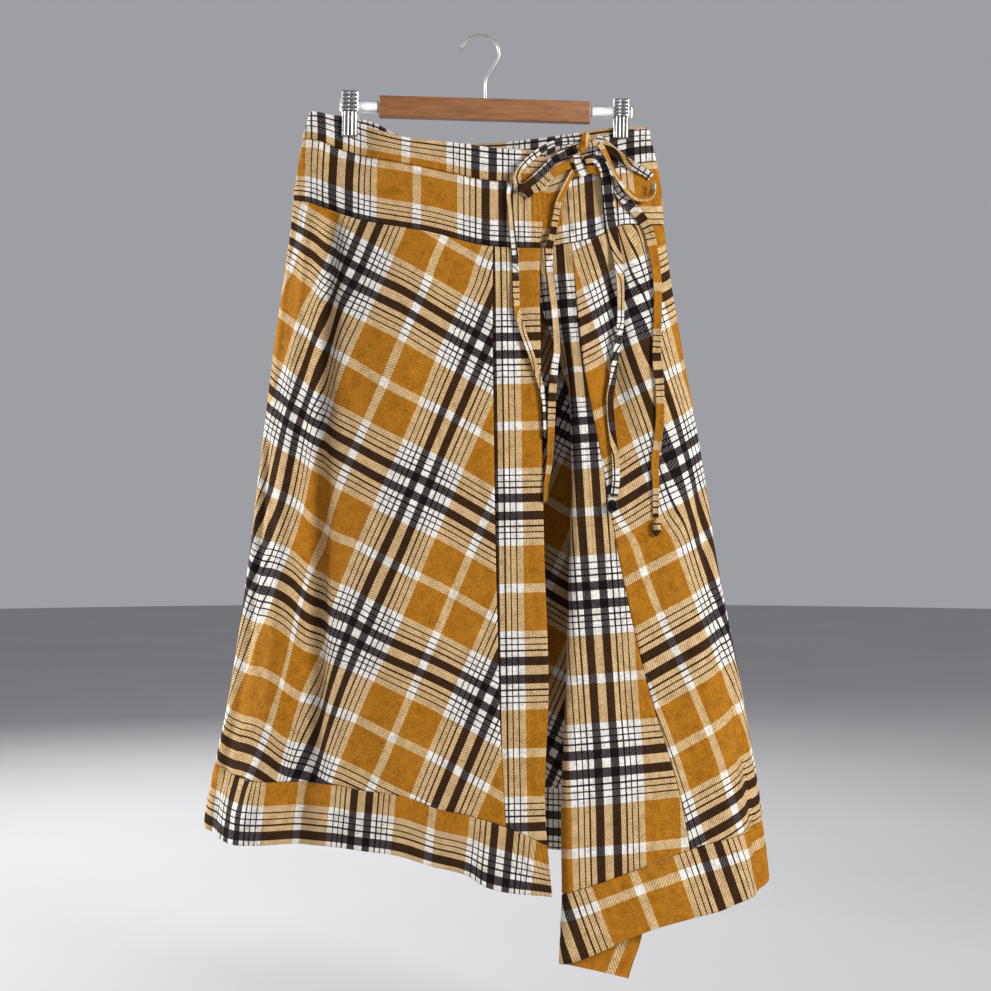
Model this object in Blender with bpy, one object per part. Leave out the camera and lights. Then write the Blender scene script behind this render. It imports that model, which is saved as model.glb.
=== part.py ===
"""Wrap skirt with fabric ties, hung by its waist from a wooden clip hanger.

Metres, +Z up, front towards -Y. The origin is the inside top of the hanger's hook.
Tables are in millimetres and degrees.
"""
import math

import bmesh
import bpy
import numpy as np
from mathutils import Matrix, Vector

MM = 0.001
CLOTH = 1.6
SEAM_GAP = 0.4
BOXINESS = 0.8
GRIP_DEPTH = 1.3
TIE_THICK = 1.8
WIRE_RADIUS = 1.8
HOOK_RADIUS = 22.6
BAR_SIZE = (232.0, 13.0, 23.4)
BAR_CENTRE = (5.8, 0.0, -79.9)
BAR_TILT = 1.65
RAIL_SIZE = (4.2, 14.0)
JAW_GAP = 2.6
JAW_THICK = 2.8

for old in list(bpy.data.objects):
    bpy.data.objects.remove(old, do_unlink=True)

# The skirt's level outline: its two side silhouettes and its depth to the front and back
SECTIONS = {
    "z":     (-80, -96, -157, -228, -344, -454, -575, -707, -828, -927, -1042),
    "left":  (-185, -190, -201, -209, -225, -239, -253, -272, -296, -313, -330),
    "right": (183, 185, 198, 204, 222, 242, 260, 285, 306, 318, 331),
    "front": (9, 10, 17, 26, 38, 47, 56, 66, 75, 81, 86),
    "back":  (9, 10, 16, 24, 36, 46, 56, 66, 76, 84, 90),
}
# Where the upright lines stand around the front, in degrees from the right side
LINES = {
    "z":       (-110, -165, -235, -345, -455, -575, -705, -830, -930, -1000),
    "lead":    (67.0, 67.9, 70.6, 72.3, 74.0, 74.9, 75.9, 76.7, 75.8, 75.0),
    "placket": (84.8, 85.0, 85.2, 85.8, 86.5, 86.7, 86.9, 85.8, 84.2, 83.0),
    "gore":    (60.2, 60.1, 60.0, 59.8, 57.7, 55.0, 51.4, 45.6, 43.5, 42.5),
    "fold":    (62.6, 62.6, 62.4, 61.2, 63.2, 66.0, 69.6, 71.8, 72.2, 73.0),
}
# The underlap past its fold: its length, how far it has turned under, and the radius of the turn
UNDER = {
    "z":      (-110, -235, -300, -345, -400, -540, -705, -860, -968, -1024),
    "length": (45, 44, 36, 32, 38, 56, 80, 100, 112, 96),
    "turn":   (6, 10, 34, 62, 100, 158, 172, 174, 174, 174),
    "radius": (30, 30, 20, 12, 9, 9, 9, 10, 10, 10),
}
# Heights of the cross seams and edges around the skirt, from the overlap's edge to the underlap's
ROWS = (
    {"name": "waist",
     "at": (67, 83, 94, 105, 117, 132, 139, 155, 170, 180, 232, 245, 260, 279, 291, 304, 318, 350, 360, 388, 400, 410,
            420, 428, 445),
     "z": (-127, -124, -119, -115, -109.5, -96, -90, -84, -81.5, -82, -93, -108, -115, -113, -109, -104, -100, -98,
           -100, -102, -107, -114, -122, -130, -134)},
    {"name": "band seam",
     "at": (68, 81, 87, 97, 112, 125, 145, 153, 180, 232, 260, 290, 318, 360, 388, 400, 410, 420, 428, 445),
     "z": (-163, -161, -160, -153, -142, -134.6, -120.6, -115, -112, -130, -150, -147, -138, -137, -140, -145, -151,
           -158, -165, -168)},
    {"name": "yoke seam",
     "at": (70, 86, 103, 113, 129, 143, 159, 180, 232, 260, 290, 318, 360, 385, 394, 403, 409, 415, 421, 429, 445),
     "z": (-235, -233, -219, -213, -203, -191, -182, -180, -205, -224, -224, -214, -207, -208, -208, -211, -220, -225,
           -229, -232, -234)},
    {"name": "hem seam",
     "at": (77, 85, 93, 99, 106, 116, 123, 132, 147, 167, 180, 225, 270, 315, 345, 360, 370, 399, 405, 416, 426, 434,
            455),
     "z": (-875, -856, -843, -836, -823, -816, -812, -812, -811, -801, -797, -818, -834, -842, -850, -856, -861, -877,
           -883, -898, -914, -926, -950)},
    {"name": "hem",
     "at": (76, 90, 92, 100, 107, 115, 122, 134, 150, 164, 180, 200, 225, 270, 315, 345, 360, 363, 378, 389, 397, 405,
            415, 420, 424, 432, 437, 455),
     "z": (-929, -916, -908, -896, -885, -880, -877, -878, -879, -871, -864, -874, -888, -905, -912, -917, -920, -922,
           -934, -940, -949, -955, -965, -973, -981, -997, -1002, -1024)},
)
# Long folds that hang in the cloth: turn and height of each end, half width in degrees, depth outwards
FOLDS = (
    {"name": "left trough", "top": (142, -185), "foot": (131, -840), "half": 5.5, "depth": -13},
    {"name": "left roll", "top": (152, -190), "foot": (146, -850), "half": 6.5, "depth": 7},
    {"name": "left front swell", "top": (118, -260), "foot": (112, -900), "half": 10, "depth": 4},
    {"name": "left side fold", "top": (167, -420), "foot": (164, -860), "half": 5, "depth": -5},
    {"name": "right trough", "top": (403, -215), "foot": (412, -450), "half": 5, "depth": -9},
    {"name": "right swell", "top": (394, -330), "foot": (388, -950), "half": 9, "depth": 6},
    {"name": "right side fold", "top": (377, -480), "foot": (376, -930), "half": 5, "depth": -6},
    {"name": "gore crease", "top": (414, -660), "foot": (418, -750), "half": 3, "depth": -4},
    {"name": "back left trough", "top": (228, -260), "foot": (232, -890), "half": 8, "depth": -9},
    {"name": "back left roll", "top": (245, -300), "foot": (251, -900), "half": 8, "depth": 7},
    {"name": "back right trough", "top": (296, -240), "foot": (292, -910), "half": 8, "depth": -8},
    {"name": "back right roll", "top": (312, -330), "foot": (314, -920), "half": 9, "depth": 6},
)
# Where the hanger's two clips pinch the waist: x, the cloth's top there and the jaws' own top and foot
CLIPS = (
    {"name": "left", "x": -142.4, "top": -58.6, "foot": -109.8, "width": 17.8, "lean": 1.0},
    {"name": "right", "x": 155.7, "top": -67.9, "foot": -112.0, "width": 16.8, "lean": 1.0},
)
# Grid of the cloth, in steps from each station to the next and from each row to the next. Stations run 0 overlap
# edge, 1 placket seam, 2 left side, 3 centre back, 4 right side, 5 gore seam, 6 fold, 7 underlap edge. Rows run
# 0 waist, 1 band seam, 2 yoke seam, 3 hem seam, 4 hem
ACROSS = (3, 17, 13, 13, 14, 6, 8)
DOWN = (3, 3, 16, 3)
# The cut pieces and the stations and rows that bound them
PIECES = (
    {"name": "waistband_front_left", "stations": (0, 2), "rows": (0, 1)},
    {"name": "waistband_back", "stations": (2, 4), "rows": (0, 1)},
    {"name": "waistband_front_right", "stations": (4, 7), "rows": (0, 1)},
    {"name": "yoke_front_left", "stations": (0, 2), "rows": (1, 2)},
    {"name": "yoke_back", "stations": (2, 4), "rows": (1, 2)},
    {"name": "yoke_front_right", "stations": (4, 7), "rows": (1, 2)},
    {"name": "placket_left", "stations": (0, 1), "rows": (2, 3)},
    {"name": "panel_front_left", "stations": (1, 2), "rows": (2, 3)},
    {"name": "panel_back_left", "stations": (2, 3), "rows": (2, 3)},
    {"name": "panel_back_right", "stations": (3, 4), "rows": (2, 3)},
    {"name": "panel_front_right", "stations": (4, 5), "rows": (2, 3)},
    {"name": "gore_front_right", "stations": (5, 7), "rows": (2, 3)},
    {"name": "hem_front_left", "stations": (0, 2), "rows": (3, 4)},
    {"name": "hem_back", "stations": (2, 4), "rows": (3, 4)},
    {"name": "hem_front_right", "stations": (4, 7), "rows": (3, 4)},
)
# The ties: x, height and lift off the skirt at points along each length of strap
TIES = (
    {"name": "tie_left_loop_upper", "width": 9.5, "points": (
        (113, -117, 8), (101, -119, 8), (86, -123, 7), (73, -128, 6), (61, -136, 6), (51, -145, 6),
        (43, -155, 6), (40, -162, 6))},
    {"name": "tie_left_loop_middle", "width": 9.5, "points": (
        (107, -126, 3), (93, -131, 3), (79, -139, 3), (67, -147, 3), (56, -156, 3), (46, -167, 3))},
    {"name": "tie_left_loop_lower", "width": 11, "points": (
        (49, -175, 0), (60, -167, 0), (73, -158, 0), (85, -150, 0), (94, -144, 0))},
    {"name": "tie_right_loop_outer", "width": 9, "points": (
        (115, -118, 8), (125, -118, 8), (133, -124, 7), (139, -136, 8), (147, -150, 6), (157, -164, 5),
        (166, -175, 4), (176, -181, 3), (185, -179, 3), (190, -170, 3))},
    {"name": "tie_right_loop_inner", "width": 10, "points": (
        (191, -162, 0), (187, -156, 0), (179, -150, 0), (168, -143, 0), (154, -134, 1), (144, -126, 3),
        (135, -119, 5), (126, -114, 5))},
    {"name": "tie_tail_a", "width": 9.5, "points": (
        (34, -157, 0), (32, -167, 0), (32, -177, 0), (34, -195, 0), (34, -215, 0), (37, -237, 0), (39, -254, 0),
        (42, -281, 0), (43, -303, 0), (52, -325, 0), (62, -357, 0), (71, -395, 0), (74, -423, 0),
        (74, -444, 0))},
    {"name": "tie_tail_b", "width": 11.5, "points": (
        (102, -152, 2), (99, -158, 1), (93, -168, 1), (87, -183, 1), (82, -202, 0), (79, -221, 0),
        (77, -237, 0), (76, -250, 0), (77, -270, 0), (80, -298, 1), (84, -336, 2), (87, -379, 3), (87, -412, 3),
        (83, -444, 3), (78, -477, 2), (71, -509, 0))},
    {"name": "tie_tail_c", "width": 11.5, "points": (
        (133, -135, 3), (135, -144, 4), (136, -159, 4), (140, -177, 4), (141, -193, 2), (142, -210, 1),
        (144, -228, 0), (155, -259, 1), (160, -292, 1), (161, -319, 1), (159, -347, 0), (148, -377, 0),
        (142, -401, 1), (143, -433, 1), (145, -460, 0), (147, -485, 0), (144, -502, 0))},
    {"name": "tie_tail_d", "width": 11.5, "points": (
        (145, -158, 0), (148, -165, 0), (153, -175, 0), (161, -186, 0), (169, -198, 0), (177, -210, 0),
        (182, -222, 0), (185, -235, 0), (190, -259, 0), (191, -292, 0), (190, -336, 0), (194, -379, 0),
        (195, -423, 0), (189, -466, 0), (191, -509, 0), (192, -526, 0))},
    {"name": "tie_knot_end", "width": 11, "points": (
        (106, -135, 8), (108, -141, 6), (110, -149, 5), (113, -157, 5))},
)
# Knots tied in the straps: centre x and height, lift, half sizes
KNOTS = (
    {"name": "tie_bow_knot", "x": 113, "z": -118, "lift": 16.9, "half": (8.0, 5.5, 11.0)},
    {"name": "tie_end_knot_c", "x": 142, "z": -516, "lift": 4.1, "half": (7.5, 4.4, 8.5)},
    {"name": "tie_end_knot_d", "x": 192, "z": -541, "lift": 4.7, "half": (7.0, 4.4, 9.5)},
)

# Finishes as colour, roughness and metallic
FINISHES = {
    "plaid": ((0.53, 0.33, 0.14, 1.0), 0.9, 0.0),
    "tie": ((0.50, 0.30, 0.10, 1.0), 0.88, 0.0),
    "wood": ((0.40, 0.16, 0.06, 1.0), 0.45, 0.0),
    "wire": ((0.72, 0.72, 0.74, 1.0), 0.18, 1.0),
    "pressed": ((0.62, 0.62, 0.64, 1.0), 0.32, 1.0),
}


# Shared numbers work: a smooth curve through a table's points, and a soft step
def curve(x, xs, ys):
    xs = np.asarray(xs, float)
    ys = np.asarray(ys, float)
    if xs[0] > xs[-1]:
        xs = xs[::-1]
        ys = ys[::-1]
    step = np.diff(xs)
    rise = np.diff(ys) / step
    slope = np.concatenate([rise[:1], (rise[:-1] + rise[1:]) / 2, rise[-1:]])
    turned = np.concatenate([[False], rise[:-1] * rise[1:] <= 0, [False]])
    slope[turned] = 0
    limit = 3 * np.minimum(np.abs(np.append(rise, rise[-1])), np.abs(np.insert(rise, 0, rise[0])))
    slope = np.clip(slope, -limit, limit)
    x = np.clip(np.asarray(x, float), xs[0], xs[-1])
    k = np.clip(np.searchsorted(xs, x, side="right") - 1, 0, len(xs) - 2)
    t = (x - xs[k]) / step[k]
    near = (1 + 2 * t) * (1 - t) ** 2 * ys[k] + t * (1 - t) ** 2 * step[k] * slope[k]
    far = t * t * (3 - 2 * t) * ys[k + 1] + t * t * (t - 1) * step[k] * slope[k + 1]
    return near + far


def soft(x, start, end):
    t = np.clip((x - start) / (end - start), 0, 1)
    return t * t * (3 - 2 * t)


# The skirt's surface. ring gives the level outline, cloth adds the folds, the underlap and the clips' pinch
def ring(turn, z):
    left = curve(z, SECTIONS["z"], SECTIONS["left"])
    right = curve(z, SECTIONS["z"], SECTIONS["right"])
    front = curve(z, SECTIONS["z"], SECTIONS["front"])
    back = curve(z, SECTIONS["z"], SECTIONS["back"])
    angle = np.radians(turn)
    sine = np.sin(angle)
    x = (left + right) / 2 + (right - left) / 2 * np.cos(angle)
    y = -np.where(sine > 0, front, back) * np.sign(sine) * np.abs(sine) ** BOXINESS
    return x, y


def fold_depth(turn, z):
    depth = np.zeros_like(turn)
    for fold in FOLDS:
        (top_turn, top), (foot_turn, foot) = fold["top"], fold["foot"]
        along = np.clip((top - z) / (top - foot), 0, 1)
        off = (turn - (top_turn + (foot_turn - top_turn) * along)) / fold["half"]
        fade = soft(top - z, -20, 60) * (1 - soft(foot - z, -110, 30) * (foot > -800))
        depth = depth + fold["depth"] * np.exp(-off * off) * fade
    return depth


def stations(z):
    lines = {key: curve(z, LINES["z"], LINES[key]) for key in ("lead", "placket", "gore", "fold")}
    flat = np.zeros_like(z)
    return np.stack([lines["lead"], lines["placket"], flat + 180, flat + 270, flat + 360,
                     360 + lines["gore"], 360 + lines["fold"]])


def cloth(station, row):
    station = np.asarray(station, float)
    row = np.asarray(row, float)
    z = np.full(station.shape, -400.0)
    low = np.clip(np.floor(station).astype(int), 0, 5)
    part = np.clip(station, 0, 6) - low
    past = np.clip(station - 6, 0, 1)
    over = np.clip(np.floor(row).astype(int), 0, 3)
    for _ in range(12):
        marks = stations(z)
        turn = (1 - part) * np.take_along_axis(marks, low[None], 0)[0]
        turn = turn + part * np.take_along_axis(marks, low[None] + 1, 0)[0]
        seen = turn + 20 * past
        heights = np.stack([curve(seen, line["at"], line["z"]) for line in ROWS])
        top = np.take_along_axis(heights, over[None], 0)[0]
        foot = np.take_along_axis(heights, over[None] + 1, 0)[0]
        z = top + (foot - top) * (row - over)
    x, y = ring(turn, z)
    ahead_x, ahead_y = ring(turn + 0.5, z)
    way = np.arctan2(ahead_y - y, ahead_x - x)
    recess = 5.4 * soft(turn, 402, 417) * soft(z, -490, -370)
    out = fold_depth(turn, z) - recess
    x = x - out * np.sin(way)
    y = y + out * np.cos(way)
    length = curve(z, UNDER["z"], UNDER["length"])
    bend = np.radians(curve(z, UNDER["z"], UNDER["turn"]))
    radius = curve(z, UNDER["z"], UNDER["radius"])
    run = past * length
    swept = np.minimum(run / radius, bend)
    rest = np.maximum(run - radius * bend, 0)
    x = x + radius * (np.sin(way) - np.sin(way - swept)) + rest * np.cos(way - bend)
    y = y + radius * (np.cos(way - swept) - np.cos(way)) + rest * np.sin(way - bend)
    for clip in CLIPS:
        off = np.abs(x - clip["x"])
        pinch = (1 - soft(off, 12, 44)) * soft(z, clip["foot"] - 58, clip["foot"] - 4)
        y = np.sign(y) * (np.abs(y) * (1 - pinch) + GRIP_DEPTH * pinch)
    return np.stack([x, y, z], -1)


# Solids are kept as closed meshes in millimetres and shaded smooth where they are round
def finish(name, mesh, finish_name):
    bmesh.ops.recalc_face_normals(mesh, faces=mesh.faces[:])
    bmesh.ops.scale(mesh, vec=(MM, MM, MM), verts=mesh.verts[:])
    data = bpy.data.meshes.new(name)
    mesh.to_mesh(data)
    mesh.free()
    data.shade_smooth()
    colour, rough, metal = FINISHES[finish_name]
    material = bpy.data.materials.new(name + "_finish")
    material.use_nodes = True
    shader = material.node_tree.nodes["Principled BSDF"]
    shader.inputs["Base Color"].default_value = colour
    shader.inputs["Roughness"].default_value = rough
    shader.inputs["Metallic"].default_value = metal
    data.materials.append(material)
    made = bpy.data.objects.new(name, data)
    bpy.context.scene.collection.objects.link(made)
    return made


def slab(name, outer, inner, finish_name):
    rows, columns = outer.shape[:2]
    mesh = bmesh.new()
    skins = [[[mesh.verts.new(p) for p in line] for line in skin] for skin in (outer, inner)]
    for skin in skins:
        for r in range(rows - 1):
            for c in range(columns - 1):
                mesh.faces.new((skin[r][c], skin[r][c + 1], skin[r + 1][c + 1], skin[r + 1][c]))
    edge = [(0, c) for c in range(columns)]
    edge += [(r, columns - 1) for r in range(1, rows)]
    edge += [(rows - 1, c) for c in range(columns - 2, -1, -1)]
    edge += [(r, 0) for r in range(rows - 2, 0, -1)]
    for (r, c), (s, d) in zip(edge, edge[1:] + edge[:1]):
        mesh.faces.new((skins[0][r][c], skins[1][r][c], skins[1][s][d], skins[0][s][d]))
    return finish(name, mesh, finish_name)


def unit(ways):
    return ways / np.maximum(np.linalg.norm(ways, axis=-1, keepdims=True), 1e-9)


def trimmed(points, amount):
    points = points.copy()
    for axis in (0, 1):
        lines = np.moveaxis(points, axis, 0)
        for end, near in ((0, 1), (-1, -2)):
            lines[end] = lines[end] + unit(lines[near] - lines[end]) * amount
    return points


def steps(bounds, counts):
    marks = [np.linspace(k, k + 1, counts[k] + 1)[:-1] for k in range(*bounds)]
    return np.append(np.concatenate(marks), bounds[1])


def wall(piece):
    station, row = np.meshgrid(steps(piece["stations"], ACROSS), steps(piece["rows"], DOWN))
    middle = trimmed(cloth(station, row), SEAM_GAP / 2)
    normal = unit(np.cross(cloth(station + 0.04, row) - cloth(station - 0.04, row),
                           cloth(station, row + 0.04) - cloth(station, row - 0.04)))
    return slab(piece["name"], middle + normal * CLOTH / 2, middle - normal * CLOTH / 2, "plaid")


for piece in PIECES:
    wall(piece)


# The ties lie on the front of the skirt, lifted off the nearest cloth
def front_cloth():
    points = []
    for start, end in ((0, 2), (4, 6.4)):
        station, row = np.meshgrid(np.linspace(start, end, 80), steps((0, 3), (8, 12, 80)))
        points.append(cloth(station, row).reshape(-1, 3))
    return np.concatenate(points)


FRONT = front_cloth()


def front_depth(x, z, reach=11.0):
    away = np.hypot(FRONT[:, 0] - x, FRONT[:, 2] - z)
    return FRONT[away < max(reach, away.min() + 4.0), 1].min()


def smooth_path(points, step):
    points = np.asarray(points, float)
    run = np.concatenate([[0], np.cumsum(np.linalg.norm(np.diff(points, axis=0), axis=1))])
    along = np.linspace(0, run[-1], max(4, int(run[-1] / step)))
    return np.stack([curve(along, run, points[:, k]) for k in range(points.shape[1])], -1)


def strap(tie):
    x, z, lift = smooth_path([(x, z, lift) for x, z, lift in tie["points"]], 8.0).T
    y = np.array([front_depth(*place) for place in zip(x, z)])
    y = np.minimum(y, np.convolve(np.pad(y, 2, mode="edge"), (0.15, 0.2, 0.3, 0.2, 0.15), "valid"))
    path = np.stack([x, y - CLOTH / 2 - TIE_THICK / 2 - lift, z], -1)
    way = np.gradient(path, axis=0)
    side = np.stack([way[:, 2], np.zeros(len(way)), -way[:, 0]], -1)
    side = unit(side)
    across = np.linspace(-0.5, 0.5, 4) * tie["width"]
    middle = path[:, None] + side[:, None] * across[None, :, None]
    middle[..., 1] -= 0.5 * np.cos(np.pi * across / tie["width"])
    normal = unit(np.cross(np.gradient(middle, axis=1), np.gradient(middle, axis=0)))
    return slab(tie["name"], middle + normal * TIE_THICK / 2, middle - normal * TIE_THICK / 2, "tie")


def knot(spec):
    mesh = bmesh.new()
    bmesh.ops.create_icosphere(mesh, subdivisions=3, radius=1.0)
    for vert in mesh.verts:
        bump = 1 + 0.07 * math.sin(3 * vert.co.x + 5 * vert.co.z) + 0.05 * math.sin(7 * vert.co.x)
        vert.co = Vector([vert.co[k] * spec["half"][k] * bump for k in range(3)])
    y = front_depth(spec["x"], spec["z"], 14.0) - spec["lift"]
    bmesh.ops.translate(mesh, vec=(spec["x"], y, spec["z"]), verts=mesh.verts[:])
    return finish(spec["name"], mesh, "tie")


for tie in TIES:
    strap(tie)
for spec in KNOTS:
    knot(spec)


# The hanger: wire hook, wooden bar, two flat rails and two sprung clips
def hook():
    centre = Vector((0, 0, WIRE_RADIUS - HOOK_RADIUS))
    path = [Vector((6.8, 0, -67.6)), Vector((6.8, 0, -60)), Vector((7.0, 0, -52)), Vector((9.5, 0, -44))]
    path += [Vector((15.0, 0, -36.5))]
    for degrees in range(-14, 174, 11):
        angle = math.radians(degrees)
        path.append(centre + HOOK_RADIUS * Vector((math.cos(angle), 0, math.sin(angle))))
    mesh = bmesh.new()
    rings = []
    for k, point in enumerate(path):
        way = (path[min(k + 1, len(path) - 1)] - path[max(k - 1, 0)]).normalized()
        side = Vector((0, 1, 0))
        up = side.cross(way).normalized()
        rings.append([mesh.verts.new(point + WIRE_RADIUS * (math.cos(a) * side + math.sin(a) * up))
                      for a in [math.tau * n / 10 for n in range(10)]])
    for near, far in zip(rings, rings[1:]):
        for n in range(10):
            mesh.faces.new((near[n], near[(n + 1) % 10], far[(n + 1) % 10], far[n]))
    mesh.faces.new(rings[0])
    mesh.faces.new(rings[-1])
    return finish("hook", mesh, "wire")


def block(name, size, centre, lean, bevel, finish_name):
    mesh = bmesh.new()
    bmesh.ops.create_cube(mesh, size=1.0)
    bmesh.ops.scale(mesh, vec=size, verts=mesh.verts[:])
    bmesh.ops.bevel(mesh, geom=mesh.edges[:] + mesh.verts[:], offset=bevel, segments=2, profile=0.5,
                    affect="EDGES")
    bmesh.ops.rotate(mesh, cent=(0, 0, 0), matrix=Matrix.Rotation(math.radians(lean), 3, "Y"), verts=mesh.verts[:])
    bmesh.ops.translate(mesh, vec=centre, verts=mesh.verts[:])
    return finish(name, mesh, finish_name)


def jaw(name, clip, side):
    height = clip["top"] - clip["foot"]
    mesh = bmesh.new()
    bmesh.ops.create_cube(mesh, size=1.0)
    bmesh.ops.scale(mesh, vec=(clip["width"], JAW_THICK, height), verts=mesh.verts[:])
    bmesh.ops.bevel(mesh, geom=mesh.edges[:] + mesh.verts[:], offset=0.7, segments=2, profile=0.5, affect="EDGES")
    bmesh.ops.rotate(mesh, cent=(0, 0, 0), matrix=Matrix.Rotation(math.radians(clip["lean"]), 3, "Y"),
                     verts=mesh.verts[:])
    y = side * (JAW_GAP + JAW_THICK / 2)
    bmesh.ops.translate(mesh, vec=(clip["x"], y, (clip["top"] + clip["foot"]) / 2), verts=mesh.verts[:])
    return finish(name, mesh, "pressed")


hook()
block("bar", BAR_SIZE, BAR_CENTRE, BAR_TILT, 3.0, "wood")
block("rail_left", (42.6, *RAIL_SIZE), (-132.0, 0, -76.2), BAR_TILT, 0.6, "pressed")
block("rail_right", (46.0, *RAIL_SIZE), (145.6, 0, -82.6), BAR_TILT, 0.6, "pressed")
for clip in CLIPS:
    jaw("clip_" + clip["name"] + "_front", clip, -1)
    jaw("clip_" + clip["name"] + "_back", clip, 1)
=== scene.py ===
"""A long plaid wrap skirt with a side bow, clipped by its waist to a wooden hanger."""
import math

import bmesh
import bpy
import numpy as np
from mathutils import Matrix, Vector


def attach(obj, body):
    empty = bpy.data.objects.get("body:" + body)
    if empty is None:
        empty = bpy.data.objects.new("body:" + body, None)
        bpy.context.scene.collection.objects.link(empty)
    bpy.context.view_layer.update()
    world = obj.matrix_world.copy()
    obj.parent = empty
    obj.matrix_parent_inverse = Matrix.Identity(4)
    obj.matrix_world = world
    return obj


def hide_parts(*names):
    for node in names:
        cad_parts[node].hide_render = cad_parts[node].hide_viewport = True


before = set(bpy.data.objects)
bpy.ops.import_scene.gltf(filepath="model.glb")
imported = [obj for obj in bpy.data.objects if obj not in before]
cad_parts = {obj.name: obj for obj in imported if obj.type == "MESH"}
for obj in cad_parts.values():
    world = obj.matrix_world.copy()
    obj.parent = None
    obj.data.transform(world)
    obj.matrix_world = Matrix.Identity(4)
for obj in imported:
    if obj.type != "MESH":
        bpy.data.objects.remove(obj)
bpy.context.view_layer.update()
# Sizes and places are in millimetres, from the inside top of the hook
MM = 0.001


# Camera: level with the middle of the skirt, two metres in front of the hook's plane and a little to its
# right. The frame's width is the one seen in that plane
CAMERA_AT = (17.6, -2000.0, -504.0)
FRAME_WIDTH = 1090.1
SENSOR_WIDTH = 36.0

camera_data = bpy.data.cameras.new("camera")
camera_data.sensor_width = SENSOR_WIDTH
camera_data.lens = SENSOR_WIDTH * -CAMERA_AT[1] / FRAME_WIDTH
camera_data.clip_end = 50.0
camera = bpy.data.objects.new("camera", camera_data)
camera.location = Vector(CAMERA_AT) * MM
camera.rotation_euler = (math.radians(90), 0, 0)
bpy.context.scene.collection.objects.link(camera)
bpy.context.scene.camera = camera


# Studio: a pale floor well below the hem, a pale surround and broad soft lights. The window stands behind
# the camera, where the hanger's metal mirrors it
FLOOR_LEVEL = -1160.0
FLOOR_RADIUS = 9000.0
FLOOR_DARK = (0.40, 0.40, 0.41, 1)
FLOOR_PALE = (0.47, 0.47, 0.47, 1)
SURROUND = (0.92, 0.94, 1.0, 1)
SURROUND_STRENGTH = 0.37


# Shader sums are plain expressions: a Val wraps one socket, and a Finish makes the nodes of one material
class Val:
    def __init__(self, finish, socket):
        self.finish = finish
        self.socket = socket

    def _do(self, kind, *others):
        return self.finish.node("ShaderNodeMath", {"operation": kind}, dict(enumerate((self,) + others)))

    def __add__(self, other):
        return self._do("ADD", other)

    __radd__ = __add__

    def __mul__(self, other):
        return self._do("MULTIPLY", other)

    __rmul__ = __mul__

    def __sub__(self, other):
        return self._do("SUBTRACT", other)

    def __rsub__(self, other):
        return self.finish.node("ShaderNodeMath", {"operation": "SUBTRACT"}, {0: other, 1: self})

    def __lt__(self, other):
        return self._do("LESS_THAN", other)

    def fraction(self):
        return self._do("FRACT")

    def pingpong(self, size):
        return self._do("PINGPONG", size)

    def grey(self):
        return self.finish.node("ShaderNodeRGBToBW", {}, {0: self})

    def other(self, out):
        return Val(self.finish, self.socket.node.outputs[out])


class Finish:
    def __init__(self, name, **fixed):
        self.material = bpy.data.materials.new(name)
        self.material.use_nodes = True
        self.tree = self.material.node_tree
        self.shader = self.tree.nodes["Principled BSDF"]
        for socket, value in fixed.items():
            self.shader.inputs[socket.replace("_", " ")].default_value = value

    def node(self, kind, settings, sockets, out=0):
        made = self.tree.nodes.new(kind)
        for key, value in settings.items():
            if key == "stops":
                ramp = made.color_ramp
                while len(ramp.elements) > 1:
                    ramp.elements.remove(ramp.elements[-1])
                ramp.elements[0].position, ramp.elements[0].color = value[0]
                for place, colour in value[1:]:
                    ramp.elements.new(place).color = colour
            elif key == "blend":
                made.color_ramp.interpolation = value
            else:
                setattr(made, key, value)
        for key, value in sockets.items():
            if isinstance(value, Val):
                self.tree.links.new(value.socket, made.inputs[key])
            else:
                made.inputs[key].default_value = value
        return Val(self, made.outputs[out])

    def mix(self, amount, low, high, blend="MIX"):
        return self.node("ShaderNodeMix", {"data_type": "RGBA", "blend_type": blend},
                         {0: amount, 6: low, 7: high}, 2)

    def noise(self, place, scale, detail=2.0, rough=0.5):
        return self.node("ShaderNodeTexNoise", {}, {"Vector": place, "Scale": scale, "Detail": detail,
                                                    "Roughness": rough})

    def ramp(self, value, stops, blend="LINEAR"):
        return self.node("ShaderNodeValToRGB", {"stops": stops, "blend": blend}, {0: value})

    def place(self):
        return self.node("ShaderNodeTexCoord", {}, {}, "Object")

    def feed(self, socket, value):
        self.tree.links.new(value.socket, self.shader.inputs[socket])

    def bump(self, height, strength, distance):
        self.feed("Normal", self.node("ShaderNodeBump", {}, {"Strength": strength, "Distance": distance,
                                                             "Height": height}))


def pale_floor():
    made = Finish("pale_floor", Roughness=0.85)
    patches = made.noise(made.place(), 1.4)
    made.feed("Base Color", made.ramp(patches, ((0.0, FLOOR_DARK), (1.0, FLOOR_PALE))))
    return made.material


bpy.ops.mesh.primitive_circle_add(vertices=96, radius=FLOOR_RADIUS * MM, fill_type="NGON",
                                  location=(0, 0, FLOOR_LEVEL * MM))
floor = bpy.context.object
floor.name = "studio_floor"
floor.data.materials.append(pale_floor())

world = bpy.data.worlds.new("soft_surround")
world.use_nodes = True
world.node_tree.nodes["Background"].inputs["Color"].default_value = SURROUND
world.node_tree.nodes["Background"].inputs["Strength"].default_value = SURROUND_STRENGTH
bpy.context.scene.world = world
bpy.context.scene.view_settings.view_transform = "Standard"

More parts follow.
